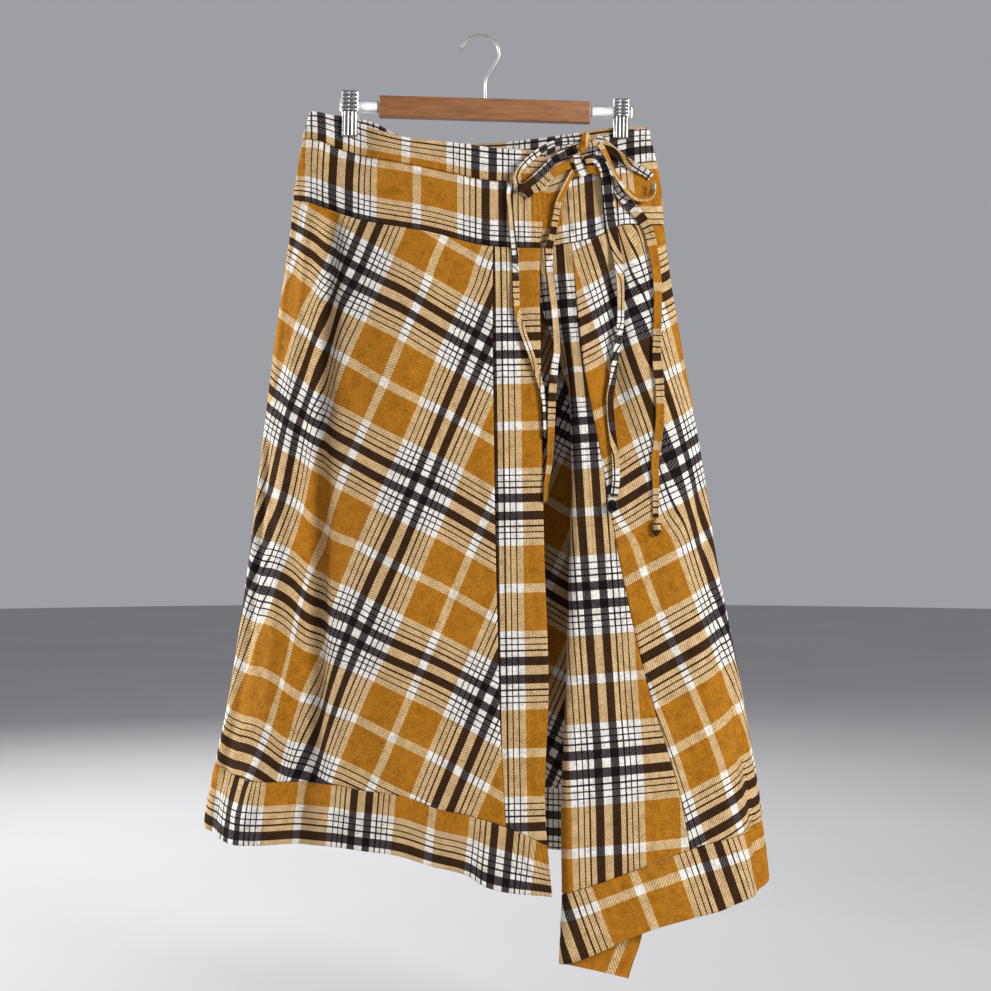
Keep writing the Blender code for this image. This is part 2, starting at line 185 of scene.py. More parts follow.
# Each lamp's place and size in metres. All of them point at the middle of the skirt
LIT_POINT = Vector((0, 0, -0.5))
LIGHTS = (
    {"name": "key", "at": (2.1, -1.9, 0.5), "size": 0.9, "watts": 84},
    {"name": "left", "at": (-2.4, 0.3, 0.0), "size": 1.0, "watts": 80},
    {"name": "back", "at": (-0.8, 2.4, 0.8), "size": 1.2, "watts": 60},
    {"name": "window", "at": (0.0, -3.2, 0.62), "size": 0.8, "watts": 2.4},
)
for light in LIGHTS:
    bpy.ops.object.light_add(type="AREA", location=light["at"])
    lamp = bpy.context.object
    lamp.name = "light_" + light["name"]
    lamp.data.shape = "DISK"
    lamp.data.size = light["size"]
    lamp.data.energy = light["watts"]
    lamp.rotation_euler = (LIT_POINT - lamp.location).to_track_quat("-Z", "Y").to_euler()


# Skirt: a wrap skirt of brushed 2/2 twill in one check, hung by its waist. Waistband, hip yoke, placket,
# bias panels, gore and hem bands are cut singly, sewn edge to edge and pressed. They hang as one wrapped
# surface, which two clips pinch at the waist

# The UV map "weave" counts whole repeats of the check, across and down the cloth, from the middle of the
# double black band
ACROSS_REPEAT = 165.0
DOWN_REPEAT = 176.0
TWILL_PITCH = 3.3
# How far a thread strays, in repeats, how much black threads widen, and how far they darken what they cross
THREAD_WANDER = 0.006
BLACK_SPREAD = 0.36
BLACK_STAIN = 0.42
WHITE = (0.83, 0.81, 0.765, 1)
BLACK = (0.010, 0.006, 0.007, 1)
MUSTARD = (0.415, 0.168, 0.013, 1)
# The wool's own unevenness, from its dark hollows to its pale tips
WOOL_TONES = ((0.38, (0.60, 0.54, 0.44, 1)), (0.5, (0.90, 0.88, 0.85, 1)), (0.61, (1.10, 1.10, 1.14, 1)))
# Half of the check's threads, from the middle of the double band outwards
CHECK = ((0.0, WHITE), (0.0262, BLACK), (0.0820, WHITE), (0.1118, BLACK), (0.1218, WHITE), (0.1494, BLACK),
         (0.1594, WHITE), (0.1888, BLACK), (0.1988, WHITE), (0.2375, MUSTARD), (0.4716, WHITE))


def plaid(name):
    made = Finish(name, Roughness=0.94, Sheen_Weight=0.03, Sheen_Roughness=0.5, Specular_IOR_Level=0.06)
    weave = made.node("ShaderNodeUVMap", {"uv_map": "weave"}, {})
    split = made.node("ShaderNodeSeparateXYZ", {}, {0: weave})
    at = made.place()
    wander = (made.noise(at, 9.0, 3.0) - 0.5) * THREAD_WANDER
    across = split + wander
    down = split.other(1) + wander
    warp = made.ramp(across.pingpong(0.5), CHECK, "CONSTANT")
    weft = made.ramp(down.pingpong(0.5), CHECK, "CONSTANT")
    rib = (across * (ACROSS_REPEAT / TWILL_PITCH) + down * (DOWN_REPEAT / TWILL_PITCH)).fraction()
    # Black threads spread over the paler ones, and the brushed nap draws both ways' colours together
    dark_warp = warp.grey() < 0.05
    dark_weft = weft.grey() < 0.05
    over = rib < 0.5 + BLACK_SPREAD * dark_warp - BLACK_SPREAD * dark_weft
    woven = made.mix(over, weft, warp)
    nap = made.node("ShaderNodeGamma", {}, {0: made.mix(1.0, warp, weft, "MULTIPLY"), 1: 0.5})
    fleck = made.noise(at, 520.0, 3.0, 0.75)
    mottle = made.noise(at, 90.0, 4.0, 0.7)
    tone = made.ramp(mottle * 0.4 + fleck * 0.6, WOOL_TONES)
    cloth_colour = made.mix(BLACK_STAIN * (dark_warp + dark_weft), made.mix(0.6, woven, nap), BLACK)
    made.feed("Base Color", made.mix(1.0, cloth_colour, tone, "MULTIPLY"))
    made.bump(rib.pingpong(0.5) * 1.2 + fleck * 0.9 + mottle * 0.5, 0.5, 0.0006)
    return made.material


PLAID = plaid("plaid_twill")


# The cloth's thickness, how rounded its level outline is, and half the depth left where a clip grips it
CLOTH = 1.6
BOXINESS = 0.8
GRIP_DEPTH = 1.3
# The underlap's end takes its heights from this many degrees further around
UNDER_SPAN = 20
# The gore's upper part lies back behind the overlap: how deep, and the turns and heights where that fades
RECESS = {"depth": 5.4, "turn": (402, 417), "z": (-490, -370)}
# A clip draws the cloth in: how far aside its grip ends, and how far below its foot
PINCH = {"aside": (12, 44), "below": (58, 4)}
# A fold grows below its top end. One that ends above the hem band fades out at its foot
FOLD_FADE = {"top": (-20, 60), "foot": (-110, 30), "to_hem": -800}
# The step, in stations and rows, over which the cloth's slope is measured
SLOPE_STEP = 0.03
# A point's height and turn are each read from the other: the rounds they settle in, and the first height
SETTLING = 12
START_HEIGHT = -400.0

# The skirt's level outline: its two side silhouettes and its depth to the front and back
SECTIONS = {
    "z":     (-80, -96, -157, -228, -344, -454, -575, -707, -828, -927, -1042),
    "left":  (-185, -190, -201, -209, -225, -239, -253, -272, -296, -313, -330),
    "right": (183, 185, 198, 204, 222, 242, 260, 285, 306, 318, 331),
    "front": (9, 10, 17, 26, 38, 47, 56, 66, 75, 81, 86),
    "back":  (9, 10, 16, 24, 36, 46, 56, 66, 76, 84, 90),
}
# Where the upright lines stand around the front, in degrees from the right side
LINES = {
    "z":       (-110, -165, -235, -345, -455, -575, -705, -830, -930, -1000),
    "lead":    (67.0, 67.9, 70.6, 72.3, 74.0, 74.9, 75.9, 77.5, 76.2, 75.2),
    "placket": (84.8, 85.0, 85.2, 85.8, 86.5, 86.7, 86.9, 85.8, 84.2, 83.0),
    "gore":    (60.2, 60.1, 60.0, 59.8, 57.7, 55.0, 51.4, 45.6, 43.5, 42.5),
    "fold":    (62.6, 62.6, 62.4, 61.2, 63.2, 66.0, 69.6, 71.8, 72.2, 73.0),
}
# The underlap past its fold: its length, how far it has turned under, and the radius of the turn
UNDER = {
    "z":      (-110, -235, -300, -345, -400, -540, -705, -860, -968, -1024),
    "length": (45, 44, 36, 32, 38, 56, 80, 100, 112, 96),
    "turn":   (6, 10, 34, 62, 100, 158, 172, 174, 174, 174),
    "radius": (30, 30, 20, 12, 9, 9, 9, 10, 10, 10),
}
# Heights of the cross seams and edges around the skirt, from the overlap's edge to the underlap's
ROWS = (
    {"name": "waist",
     "at": (67, 83, 94, 105, 117, 132, 139, 155, 170, 180, 232, 245, 260, 279, 291, 304, 318, 350, 360,
            388, 400, 410, 420, 428, 445),
     "z": (-127, -124, -119, -115, -109.5, -96, -90, -84, -81.5, -82, -93, -108, -115, -113, -109, -104,
           -100, -98, -100, -102, -107, -114, -122, -130, -134)},
    {"name": "band seam",
     "at": (68, 81, 87, 97, 112, 125, 145, 153, 180, 232, 260, 290, 318, 360, 388, 400, 410, 420, 428,
            445),
     "z": (-163, -161, -160, -153, -142, -134.6, -120.6, -115, -112, -130, -150, -147, -138, -137, -140,
           -145, -151, -158, -165, -168)},
    {"name": "yoke seam",
     "at": (70, 86, 103, 113, 129, 143, 159, 180, 232, 260, 290, 318, 360, 385, 394, 403, 409, 415, 421,
            429, 445),
     "z": (-235, -233, -219, -213, -203, -191, -182, -180, -205, -224, -224, -214, -207, -208, -208, -211,
           -220, -225, -229, -232, -234)},
    {"name": "hem seam",
     "at": (77, 85, 93, 99, 106, 116, 123, 132, 147, 167, 180, 225, 270, 315, 345, 360, 370, 399, 405,
            416, 426, 434, 455),
     "z": (-875, -856, -843, -836, -823, -816, -812, -812, -811, -801, -797, -818, -834, -842, -850, -856,
           -861, -877, -883, -898, -914, -926, -950)},
    {"name": "hem",
     "at": (76, 90, 92, 100, 107, 115, 122, 134, 150, 164, 180, 200, 225, 270, 315, 345, 360, 363, 378,
            389, 397, 405, 415, 420, 424, 432, 437, 455),
     "z": (-929, -916, -908, -896, -885, -880, -877, -878, -879, -871, -864, -874, -888, -905, -912, -917,
           -920, -922, -934, -940, -949, -955, -965, -973, -981, -997, -1002, -1024)},
)
# Long folds that hang in the cloth: turn and height of each end, half width in degrees, depth outwards
FOLDS = (
    {"name": "left trough", "top": (142, -185), "foot": (131, -840), "half": 5.5, "depth": -13},
    {"name": "left roll", "top": (152, -190), "foot": (146, -850), "half": 6.5, "depth": 7},
    {"name": "left front swell", "top": (118, -260), "foot": (112, -900), "half": 10, "depth": 4},
    {"name": "left side fold", "top": (167, -420), "foot": (164, -860), "half": 5, "depth": -5},
    {"name": "right trough", "top": (403, -215), "foot": (412, -450), "half": 5, "depth": -9},
    {"name": "right swell", "top": (394, -330), "foot": (388, -950), "half": 9, "depth": 6},
    {"name": "right side fold", "top": (377, -480), "foot": (376, -930), "half": 5, "depth": -6},
    {"name": "gore crease", "top": (414, -660), "foot": (418, -750), "half": 3, "depth": -4},
    {"name": "back left trough", "top": (228, -260), "foot": (232, -890), "half": 8, "depth": -9},
    {"name": "back left roll", "top": (245, -300), "foot": (251, -900), "half": 8, "depth": 7},
    {"name": "back right trough", "top": (296, -240), "foot": (292, -910), "half": 8, "depth": -8},
    {"name": "back right roll", "top": (312, -330), "foot": (314, -920), "half": 9, "depth": 6},
)

# Where the hanger's two clips pinch the waist: x, the jaws' top, foot and width, and their lean in degrees
CLIPS = (
    {"name": "left", "x": -142.4, "top": -58.6, "foot": -109.8, "width": 17.8, "lean": 1.0},
    {"name": "right", "x": 155.7, "top": -67.9, "foot": -112.0, "width": 16.8, "lean": 1.0},
)


# A smooth curve through a table's points that never overshoots them, and a soft step
def curve(x, xs, ys):
    xs = np.asarray(xs, float)
    ys = np.asarray(ys, float)
    if xs[0] > xs[-1]:
        xs = xs[::-1]
        ys = ys[::-1]
    step = np.diff(xs)
    rise = np.diff(ys) / step
    slope = np.concatenate([rise[:1], (rise[:-1] + rise[1:]) / 2, rise[-1:]])
    turned = np.concatenate([[False], rise[:-1] * rise[1:] <= 0, [False]])
    slope[turned] = 0
    limit = 3 * np.minimum(np.abs(np.append(rise, rise[-1])), np.abs(np.insert(rise, 0, rise[0])))
    slope = np.clip(slope, -limit, limit)
    x = np.clip(np.asarray(x, float), xs[0], xs[-1])
    k = np.clip(np.searchsorted(xs, x, side="right") - 1, 0, len(xs) - 2)
    t = (x - xs[k]) / step[k]
    near = (1 + 2 * t) * (1 - t) ** 2 * ys[k] + t * (1 - t) ** 2 * step[k] * slope[k]
    far = t * t * (3 - 2 * t) * ys[k + 1] + t * t * (t - 1) * step[k] * slope[k + 1]
    return near + far


def soft(x, start, end):
    t = np.clip((x - start) / (end - start), 0, 1)
    return t * t * (3 - 2 * t)


# The skirt's surface by station, which counts the upright lines from the overlap's edge round to the
# underlap's, and by row, which counts the cross seams from the waist to the hem. ring gives the level
# outline, and cloth the finished surface
def ring(turn, z):
    left = curve(z, SECTIONS["z"], SECTIONS["left"])
    right = curve(z, SECTIONS["z"], SECTIONS["right"])
    front = curve(z, SECTIONS["z"], SECTIONS["front"])
    back = curve(z, SECTIONS["z"], SECTIONS["back"])
    angle = np.radians(turn)
    sine = np.sin(angle)
    x = (left + right) / 2 + (right - left) / 2 * np.cos(angle)
    y = -np.where(sine > 0, front, back) * np.sign(sine) * np.abs(sine) ** BOXINESS
    return x, y


def fold_depth(turn, z):
    depth = np.zeros_like(turn)
    for fold in FOLDS:
        (top_turn, top), (foot_turn, foot) = fold["top"], fold["foot"]
        along = np.clip((top - z) / (top - foot), 0, 1)
        off = (turn - (top_turn + (foot_turn - top_turn) * along)) / fold["half"]
        ends = soft(foot - z, *FOLD_FADE["foot"]) * (foot > FOLD_FADE["to_hem"])
        fade = soft(top - z, *FOLD_FADE["top"]) * (1 - ends)
        depth = depth + fold["depth"] * np.exp(-off * off) * fade
    return depth


def stations(z):
    lines = {key: curve(z, LINES["z"], LINES[key]) for key in ("lead", "placket", "gore", "fold")}
    flat = np.zeros_like(z)
    return np.stack([lines["lead"], lines["placket"], flat + 180, flat + 270, flat + 360,
                     360 + lines["gore"], 360 + lines["fold"]])


def cloth(station, row):
    station = np.asarray(station, float)
    row = np.asarray(row, float)
    z = np.full(station.shape, START_HEIGHT)
    low = np.clip(np.floor(station).astype(int), 0, 5)
    part = np.clip(station, 0, 6) - low
    past = np.clip(station - 6, 0, 1)
    over = np.clip(np.floor(row).astype(int), 0, 3)
    for _ in range(SETTLING):
        marks = stations(z)
        turn = (1 - part) * np.take_along_axis(marks, low[None], 0)[0]
        turn = turn + part * np.take_along_axis(marks, low[None] + 1, 0)[0]
        seen = turn + UNDER_SPAN * past
        heights = np.stack([curve(seen, line["at"], line["z"]) for line in ROWS])
        top = np.take_along_axis(heights, over[None], 0)[0]
        foot = np.take_along_axis(heights, over[None] + 1, 0)[0]
        z = top + (foot - top) * (row - over)
    x, y = ring(turn, z)
    ahead_x, ahead_y = ring(turn + 0.5, z)
    way = np.arctan2(ahead_y - y, ahead_x - x)
    recess = RECESS["depth"] * soft(turn, *RECESS["turn"]) * soft(z, *RECESS["z"])
    out = fold_depth(turn, z) - recess
    x = x - out * np.sin(way)
    y = y + out * np.cos(way)
    length = curve(z, UNDER["z"], UNDER["length"])
    bend = np.radians(curve(z, UNDER["z"], UNDER["turn"]))
    radius = curve(z, UNDER["z"], UNDER["radius"])
    run = past * length
    swept = np.minimum(run / radius, bend)
    rest = np.maximum(run - radius * bend, 0)
    x = x + radius * (np.sin(way) - np.sin(way - swept)) + rest * np.cos(way - bend)
    y = y + radius * (np.cos(way - swept) - np.cos(way)) + rest * np.sin(way - bend)
    for clip in CLIPS:
        off = np.abs(x - clip["x"])
        none, full = (clip["foot"] - below for below in PINCH["below"])
        pinch = (1 - soft(off, *PINCH["aside"])) * soft(z, none, full)
        y = np.sign(y) * (np.abs(y) * (1 - pinch) + GRIP_DEPTH * pinch)
    return np.stack([x, y, z], -1)


def unit(ways):
    return ways / np.maximum(np.linalg.norm(ways, axis=-1, keepdims=True), 1e-9)


# Small uneven creases that the hanging gives the cloth: station and row of the middle, the reach both ways,
# how far it turns from upright, and its depth outwards
CREASES = (
    {"at": (1.27, 2.70), "reach": (0.12, 0.90), "turn": 0.0, "depth": 8.0},
    {"at": (1.64, 2.85), "reach": (0.20, 0.45), "turn": 0.0, "depth": -9.0},
    {"at": (2.40, 2.85), "reach": (0.16, 0.60), "turn": 0.0, "depth": 5.0},
    {"at": (3.55, 2.80), "reach": (0.14, 0.70), "turn": 0.0, "depth": -5.0},
    {"at": (0.45, 2.10), "reach": (0.16, 0.10), "turn": 0.5, "depth": -2.2},
    {"at": (0.80, 2.35), "reach": (0.05, 0.30), "turn": 0.1, "depth": 1.6},
    {"at": (1.35, 2.55), "reach": (0.05, 0.35), "turn": -0.1, "depth": -2.0},
    {"at": (1.53, 2.55), "reach": (0.035, 0.50), "turn": 0.94, "depth": -5.0},
    {"at": (1.15, 2.75), "reach": (0.06, 0.25), "turn": 0.1, "depth": 1.6},
    {"at": (1.62, 3.35), "reach": (0.07, 0.40), "turn": 0.0, "depth": 3.0},
    {"at": (1.20, 3.60), "reach": (0.08, 0.50), "turn": 0.0, "depth": -2.4},
    {"at": (4.55, 2.20), "reach": (0.10, 0.14), "turn": -0.4, "depth": -2.0},
    {"at": (4.75, 2.60), "reach": (0.10, 0.22), "turn": 0.2, "depth": 2.0},
    {"at": (5.40, 2.75), "reach": (0.14, 0.10), "turn": -0.5, "depth": -2.4},
    {"at": (5.30, 3.40), "reach": (0.20, 0.40), "turn": 0.1, "depth": 2.2},
    {"at": (2.40, 2.40), "reach": (0.10, 0.30), "turn": 0.1, "depth": 2.2},
    {"at": (3.30, 2.30), "reach": (0.12, 0.25), "turn": -0.1, "depth": -2.2},
    {"at": (2.80, 2.75), "reach": (0.08, 0.30), "turn": 0.1, "depth": -2.4},
    {"at": (3.70, 2.65), "reach": (0.09, 0.30), "turn": 0.0, "depth": 2.2},
)


def normals(station, row):
    along = cloth(station + SLOPE_STEP, row) - cloth(station - SLOPE_STEP, row)
    down = cloth(station, row + SLOPE_STEP) - cloth(station, row - SLOPE_STEP)
    return unit(np.cross(along, down))


# Two low uneven ripples run through all the cloth beneath its creases
RIPPLE = 0.35
FINE_RIPPLE = 0.25
# How far a crease runs aside for each row it goes down, at a turn of one
CREASE_SLANT = 0.2


def creased(station, row):
    depth = RIPPLE * np.sin(station * 23 + 3 * np.sin(row * 5)) * np.sin(row * 9 + 2 * station)
    depth += FINE_RIPPLE * np.sin(station * 61 + row * 14)
    for crease in CREASES:
        a = station - crease["at"][0]
        b = row - crease["at"][1]
        a = a + b * crease["turn"] * CREASE_SLANT
        share = np.exp(-(a / crease["reach"][0]) ** 2 - (b / crease["reach"][1]) ** 2)
        depth = depth + crease["depth"] * share
    return cloth(station, row) + normals(station, row) * depth[..., None]


# Each cut piece: its CAD node, its stations and rows, how many steps it is drawn with, and where the check
# lies on it. A bias or straight panel has a crossing of the double bands at one point and the two ways to
# the next ones; a band's check follows its seams. A slip is where the hanging cloth has stretched off its
# grain: it grows between two stations and two heights, to so far right and up
PIECES = (
    {"node": "waistband_front_left", "stations": (0, 2), "rows": (0, 1), "steps": (150, 18),
     "band": {"at": 5, "repeat": 171, "lean": 0, "from": 0.085, "to": 0.29}},
    {"node": "waistband_back", "stations": (2, 4), "rows": (0, 1), "steps": (170, 18),
     "band": {"at": 70, "repeat": 168, "lean": 0, "from": 0.10, "to": 0.30}},
    {"node": "waistband_front_right", "stations": (4, 7), "rows": (0, 1), "steps": (130, 18),
     "band": {"at": 157, "repeat": 168, "lean": 0, "from": -0.205, "to": 0.033}},
    {"node": "yoke_front_left", "stations": (0, 2), "rows": (1, 2), "steps": (150, 36),
     "band": {"at": 16, "repeat": 168, "lean": 0, "from": -0.54, "to": -0.04}},
    {"node": "yoke_back", "stations": (2, 4), "rows": (1, 2), "steps": (170, 36),
     "band": {"at": 0, "repeat": 168, "lean": 0, "from": -0.5, "to": 0.0}},
    {"node": "yoke_front_right", "stations": (4, 7), "rows": (1, 2), "steps": (130, 36),
     "band": {"at": 128, "repeat": 168, "lean": 4, "from": -0.52, "to": -0.12}},
    {"node": "placket_left", "stations": (0, 1), "rows": (2, 3), "steps": (24, 220),
     "grain": {"at": (5.0, -343), "across": (165, 4), "down": (2.4, -174)}},
    {"node": "panel_front_left", "stations": (1, 2), "rows": (2, 3), "steps": (130, 220),
     "grain": {"at": (-140, -262), "across": (137.4, -79.9), "down": (-64.4, -151.6)},
     "slips": (((1.40, 1.25), (-245, -280), (3, 0)), ((1.10, 1.30), (-330, -400), (0, -6)),
               ((1.38, 1.55), (-250, -300), (-7, 0)), ((1.51, 1.60), (-410, -520), (17, -2)),
               ((1.60, 1.86), (-400, -550), (-17, -5)), ((1.36, 1.48), (-470, -560), (0, -6)),
               ((1.48, 1.60), (-590, -700), (2, -8)), ((1.60, 1.92), (-560, -760), (-5, 0)),
               ((1.36, 1.50), (-620, -720), (3, -4)), ((1.60, 1.92), (-430, -600), (-3, -3)),
               ((1.44, 1.58), (-690, -800), (1, -7)), ((1.42, 1.30), (-640, -720), (1, 5)))},
    {"node": "panel_back_left", "stations": (2, 3), "rows": (2, 3), "steps": (110, 180),
     "grain": {"at": (-140, -262), "across": (137.4, 79.9), "down": (64.4, -151.6)}},
    {"node": "panel_back_right", "stations": (3, 4), "rows": (2, 3), "steps": (110, 180),
     "grain": {"at": (140, -262), "across": (137.4, -79.9), "down": (-64.4, -151.6)}},
    {"node": "panel_front_right", "stations": (4, 5), "rows": (2, 3), "steps": (100, 220),
     "grain": {"at": (166.8, -295.7), "across": (141, 72), "down": (53.8, -169.4)},
     "slips": (((3, 4), (-570, -800), (18, -1)), ((4.50, 4.25), (-470, -600), (12, 0)),
               ((4.50, 4.66), (-560, -520), (-8, -3)), ((4.75, 4.95), (-560, -520), (0, -3)))},
    {"node": "gore_front_right", "stations": (5, 7), "rows": (2, 3), "steps": (90, 220),
     "grain": {"at": (112.5, -432.5), "across": (165, 12), "down": (11.4, -177.7)},
     "slips": (((4, 5), (-430, -300), (0, -50)), ((4, 5), (-760, -950), (-6, -5)))},
    {"node": "hem_front_left", "stations": (0, 2), "rows": (3, 4), "steps": (190, 30),
     "band": {"at": 25.5, "repeat": 148, "lean": -6, "from": 0.375, "to": -0.005}},
    {"node": "hem_back", "stations": (2, 4), "rows": (3, 4), "steps": (220, 30),
     "band": {"at": 58, "repeat": 165, "lean": 0, "from": 0.23, "to": -0.17}},
    {"node": "hem_front_right", "stations": (4, 7), "rows": (3, 4), "steps": (190, 36),
     "band": {"at": 78, "repeat": 168, "lean": 24, "from": 0.39, "to": 0.74}},
)
# The station whose own x starts the count across the laid-out cloth, by a piece's first station, and the
# steps in which the way from there to the piece is measured
LAID_FROM = {0: 1, 1: 1, 2: 3, 3: 3, 4: 5, 5: 5}
WAY_STEPS = 80


# u runs across the laid-out cloth, v is the height, and p and q count the check's repeats both ways
def laid_out(piece, station, row, points):
    start = LAID_FROM[piece["stations"][0]]
    step = np.linalg.norm(np.diff(points[..., :2], axis=1), axis=-1)
    run = np.concatenate([np.zeros((len(points), 1)), np.cumsum(step, axis=1)], 1)
    way = 1 if start == 3 else -1
    nearest = np.clip(start, station[0, 0], station[0, -1])
    between = np.linspace(nearest, start, WAY_STEPS)[None]
    ends = cloth(between, np.broadcast_to(row[:, :1], (len(row), WAY_STEPS)))
    beyond = np.linalg.norm(np.diff(ends[..., :2], axis=1), axis=-1).sum(1) * np.sign(start - nearest)
    at_start = np.array([np.interp(nearest, line, far) for line, far in zip(station, run)]) + beyond
    u = ends[:, -1:, 0] + way * (run - at_start[:, None])
    v = points[..., 2]
    right = np.zeros_like(u)
    up = np.zeros_like(u)
    for at_station, at_height, by in piece.get("slips", ()):
        share = soft(station, *at_station) * soft(v, *at_height)
        right += by[0] * share
        up += by[1] * share
    if "band" in piece:
        band = piece["band"]
        part = (row - piece["rows"][0]) / (piece["rows"][1] - piece["rows"][0])
        p = (u - band["at"] - band["lean"] * part) / band["repeat"]
        q = band["from"] + (band["to"] - band["from"]) * part
    else:
        grain = piece["grain"]
        turn = np.linalg.inv(np.array([grain["across"], grain["down"]]).T)
        reach = np.stack([u - right - grain["at"][0], v - up - grain["at"][1]], -1)
        p, q = np.moveaxis(reach @ turn.T, -1, 0)
    return u, v, p, q


def cloth_mesh(name, middle, normal, thick, p, q):
    rows, columns = middle.shape[:2]
    half = normal * thick / 2
    skins = np.concatenate([(middle + half).reshape(-1, 3), (middle - half).reshape(-1, 3)])
    spot = np.arange(rows * columns).reshape(rows, columns)
    front = np.stack([spot[:-1, :-1], spot[1:, :-1], spot[1:, 1:], spot[:-1, 1:]], -1).reshape(-1, 4)
    back = front[:, ::-1] + rows * columns
    rim = np.concatenate([spot[0, :-1], spot[:-1, -1], spot[-1, :0:-1], spot[:0:-1, 0]])
    ahead = np.roll(rim, -1)
    edge = np.stack([rim, ahead, ahead + rows * columns, rim + rows * columns], -1)
    data = bpy.data.meshes.new(name)
    data.from_pydata(skins * MM, [], np.concatenate([front, back, edge]).tolist())
    mesh = bmesh.new()
    mesh.from_mesh(data)
    bmesh.ops.recalc_face_normals(mesh, faces=mesh.faces[:])
    mesh.to_mesh(data)
    mesh.free()
    weave = np.tile(np.stack([p, q], -1).reshape(-1, 2), (2, 1))
    corner = np.empty(len(data.loops), int)
    data.loops.foreach_get("vertex_index", corner)
    data.uv_layers.new(name="weave").data.foreach_set("uv", weave[corner].ravel())
    data.shade_smooth()
    made = bpy.data.objects.new(name, data)
    bpy.context.scene.collection.objects.link(made)
    return made


# Points along a piece's side, crowded at both ends, where the cloth turns into its seams. The marks are in
# shares of one step
EDGE_MARKS = (0.0, 0.2, 0.5)


def eased(count, first, last):
    marks = np.linspace(0, 1, count - len(EDGE_MARKS))
    edge = np.array(EDGE_MARKS) / count
    marks = np.concatenate([edge, marks[1:-1], 1 - edge[::-1]])
    return first + (last - first) * marks


def flat_area(made):
    return sum(face.area for face in made.data.polygons) / 2


# A piece is drawn a little thinner than its solid and thin at its edges. They stop just short of the seam's
# middle, and the cloth sinks towards them, so that seams read as pressed lines
DRAWN_CLOTH = CLOTH - 0.1
EDGE_THICK = 0.5
SEAM_GAP = 0.12
SEAM_PRESS = (1.0, 0.6, 0.2)


def cut_piece(piece):
    across = eased(piece["steps"][0], *piece["stations"])
    down = eased(piece["steps"][1], *piece["rows"])
    station, row = np.meshgrid(across, down)
    middle = creased(station, row)
    normal = normals(station, row)
    u, v, p, q = laid_out(piece, station, row, cloth(station, row))
    for axis in (0, 1):
        for end, near in ((0, 1), (-1, -2)):
            line = np.moveaxis(middle, axis, 0)
            step = line[near] - line[end]
            line[end] = line[end] + unit(step) * SEAM_GAP
    for k, press in enumerate(SEAM_PRESS):
        for line in (np.s_[k], np.s_[-1 - k], np.s_[:, k], np.s_[:, -1 - k]):
            middle[line] -= normal[line] * press
    thick = np.full(station.shape + (1,), DRAWN_CLOTH)
    thick[[0, -1], :] = EDGE_THICK
    thick[:, [0, -1]] = EDGE_THICK
    made = cloth_mesh(piece["node"] + "_cloth", middle, normal, thick, p, q)
    made.data.materials.append(PLAID)
    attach(made, "root")
    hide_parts(piece["node"])
    return made


for piece in PIECES:
    cut_piece(piece)


# Ties: narrow straps of the same twill, folded in four and sewn flat, fixed to the waistband's ends and tied
# in a double bow. Four lengths hang from it. Each piece here is one length between two knots
TIE_THICK = 1.8
# A strap's points across it and the way between points along it, how thick it is at and beside its edges,
# how far its middle bellies out, and how much it sways, in radians, over how many points
STRAP_ACROSS = 13
STRAP_STEP = 2.0
STRAP_EDGE = 0.9
STRAP_SHOULDER = 1.6
STRAP_BELLY = 0.6
STRAP_SWAY = 0.12
SWAY_POINTS = 9.0
# The points over which a strap's lie on the cloth is evened, and the least flat width it is cut to
EVENED = 15
LEAST_FLAT = 10.2

